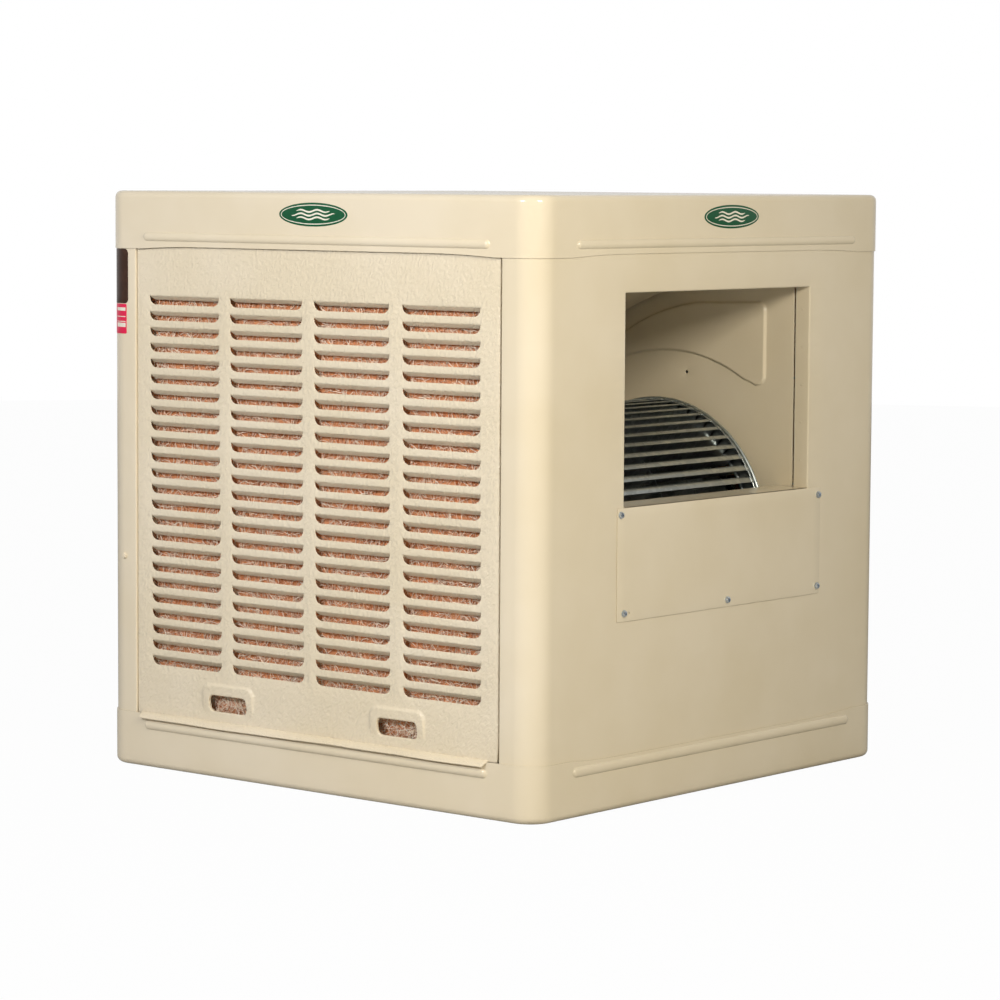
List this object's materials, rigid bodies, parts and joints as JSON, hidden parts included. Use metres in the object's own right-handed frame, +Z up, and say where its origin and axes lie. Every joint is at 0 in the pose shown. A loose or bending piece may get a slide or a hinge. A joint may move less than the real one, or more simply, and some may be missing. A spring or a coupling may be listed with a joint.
{
  "type": "evaporative cooler",
  "caption": "Side-discharge evaporative cooler: square painted-steel cabinet with louvred wet-pad panels on three sides and a belt-driven centrifugal blower behind a rectangular outlet.",
  "frame": {"origin": "centre of the underside of the base pan, where the cooler stands", "axes": "+Z up; +X the way the air is blown out, through the side with the outlet; Y along the blower shaft, with the louvred panels on -Y (left), +Y (right) and -X (rear)"},
  "size_m": [0.8768, 0.8868, 0.888],
  "materials": {
    "enamel_paint": "gloss",
    "embossed_enamel": "satin, embossed",
    "galvanised_steel": "satin",
    "zinc_plated_steel": "satin",
    "ground_steel": "satin",
    "bronze": "satin",
    "motor_enamel": "satin",
    "aspen_wood": "raw shavings",
    "belt_rubber": "matte",
    "grey_plastic": "matte",
    "white_plastic": "matte",
    "brass": "satin",
    "float_plastic": "satin"
  },
  "bodies": {
    "cabinet": {"base_pan": "enamel_paint", "top_pan": "enamel_paint", "discharge_panel": "enamel_paint", "rear_post_left": "enamel_paint", "rear_post_right": "enamel_paint", "outlet_cover_plate": "enamel_paint", "cover_screw_1": "zinc_plated_steel", "cover_screw_2": "zinc_plated_steel", "cover_screw_3": "zinc_plated_steel", "cover_screw_4": "zinc_plated_steel", "cover_screw_5": "zinc_plated_steel", "post_screw_left": "enamel_paint", "post_screw_right": "enamel_paint", "scroll_wrap": "enamel_paint", "scroll_side_left": "enamel_paint", "scroll_side_right": "enamel_paint", "bearing_bracket_left": "galvanised_steel", "bearing_bracket_right": "galvanised_steel", "shaft_bearing_left": "bronze", "shaft_bearing_right": "bronze", "blower_motor": "motor_enamel", "motor_mount": "galvanised_steel", "motor_strap_inner": "galvanised_steel", "motor_strap_outer": "galvanised_steel", "drive_belt": "belt_rubber", "junction_box": "grey_plastic", "pump_screen": "white_plastic", "pump_housing": "grey_plastic", "pump_motor": "grey_plastic", "distributor": "white_plastic", "riser_hose": "grey_plastic", "spout_left": "white_plastic", "spout_right": "white_plastic", "spout_rear": "white_plastic", "float_valve": "brass", "inlet_nut": "brass", "drain_fitting": "brass", "drain_nut": "brass"},
    "blower_rotor": {"blower_wheel": "galvanised_steel", "blower_shaft": "ground_steel", "blower_pulley": "galvanised_steel"},
    "motor_rotor": {"motor_shaft": "ground_steel", "motor_pulley": "galvanised_steel"},
    "pad_assembly_left": {"louvred_panel_left": "embossed_enamel", "aspen_pad_left": "aspen_wood", "water_trough_left": "galvanised_steel", "pad_rack_left": "galvanised_steel"},
    "pad_assembly_right": {"louvred_panel_right": "embossed_enamel", "aspen_pad_right": "aspen_wood", "water_trough_right": "galvanised_steel", "pad_rack_right": "galvanised_steel"},
    "pad_assembly_rear": {"louvred_panel_rear": "embossed_enamel", "aspen_pad_rear": "aspen_wood", "water_trough_rear": "galvanised_steel", "pad_rack_rear": "galvanised_steel"},
    "float_arm": {"float_lever": "brass", "float_ball": "float_plastic"},
    "overflow": {"overflow_pipe": "white_plastic"},
    "impeller": {"pump_impeller": "white_plastic"}
  },
  "joints": [
    {"name": "blower_spin", "type": "hinge", "parent": "cabinet", "child": "blower_rotor", "pos_m": [0.16, 0, 0.357], "axis": [0, 1, 0], "continuous": true},
    {"name": "motor_spin", "type": "hinge", "parent": "cabinet", "child": "motor_rotor", "pos_m": [-0.215, 0, 0.59], "axis": [0, 1, 0], "continuous": true},
    {"name": "left_panel_pull", "type": "slide", "parent": "cabinet", "child": "pad_assembly_left", "axis": [0, -1, 0], "range_m": [0, 0.15]},
    {"name": "right_panel_pull", "type": "slide", "parent": "cabinet", "child": "pad_assembly_right", "axis": [0, 1, 0], "range_m": [0, 0.15]},
    {"name": "rear_panel_pull", "type": "slide", "parent": "cabinet", "child": "pad_assembly_rear", "axis": [-1, 0, 0], "range_m": [0, 0.15]},
    {"name": "float_hinge", "type": "hinge", "parent": "cabinet", "child": "float_arm", "pos_m": [-0.25, 0.378, 0.052], "axis": [1, 0, 0], "range_deg": [-12, 8]},
    {"name": "overflow_pipe_lift", "type": "slide", "parent": "cabinet", "child": "overflow", "axis": [0, 0, 1], "range_m": [0, 0.08]},
    {"name": "pump_spin", "type": "hinge", "parent": "cabinet", "child": "impeller", "pos_m": [-0.3, -0.3, 0.029], "axis": [0, 0, 1], "continuous": true}
  ],
  "couplings": [
    {"joint": "motor_spin", "follows": "blower_spin", "ratio": 2.973}
  ]
}
